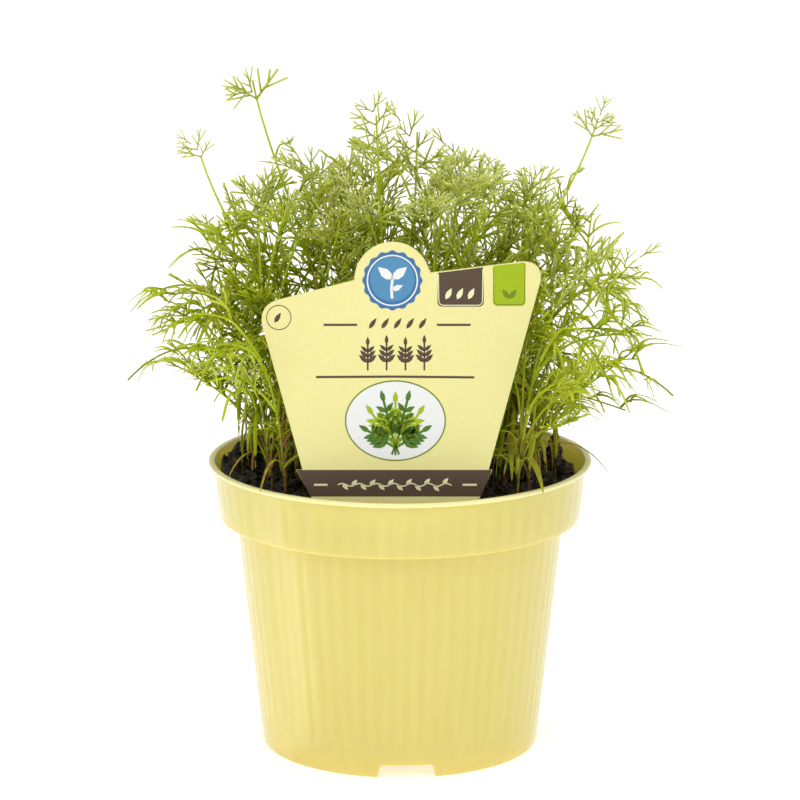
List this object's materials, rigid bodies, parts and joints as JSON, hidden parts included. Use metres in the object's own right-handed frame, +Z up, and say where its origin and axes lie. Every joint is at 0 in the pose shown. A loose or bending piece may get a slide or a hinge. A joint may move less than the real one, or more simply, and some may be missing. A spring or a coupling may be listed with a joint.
{
  "type": "potted dill plant",
  "caption": "Leafy dill grown as a bunch of feathery stems in a tapered plastic nursery pot of soil, with a die-cut card label stuck in front.",
  "frame": {"origin": "middle of the pot's foot, on the surface that it stands on", "axes": "+Z up along the pot's axis, -Y towards the front where the label faces, +X to the label's right as seen from the front"},
  "size_m": [0.1857, 0.1664, 0.2315],
  "materials": {
    "pot_plastic": "satin",
    "potting_soil": "matte",
    "label_card": "matte",
    "dill_green": "satin"
  },
  "bodies": {
    "root": {"pot": "pot_plastic", "soil": "potting_soil", "label": "label_card", "dill_plant_01": "dill_green", "dill_plant_02": "dill_green", "dill_plant_03": "dill_green", "dill_plant_04": "dill_green", "dill_plant_05": "dill_green", "dill_plant_06": "dill_green", "dill_plant_07": "dill_green", "dill_plant_08": "dill_green", "dill_plant_09": "dill_green", "dill_plant_10": "dill_green", "dill_plant_11": "dill_green", "dill_plant_12": "dill_green", "dill_plant_13": "dill_green", "dill_plant_14": "dill_green", "dill_plant_15": "dill_green", "dill_plant_16": "dill_green", "dill_plant_17": "dill_green", "dill_plant_18": "dill_green", "dill_plant_19": "dill_green", "dill_plant_20": "dill_green", "dill_plant_21": "dill_green", "dill_plant_22": "dill_green"}
  },
  "joints": []
}
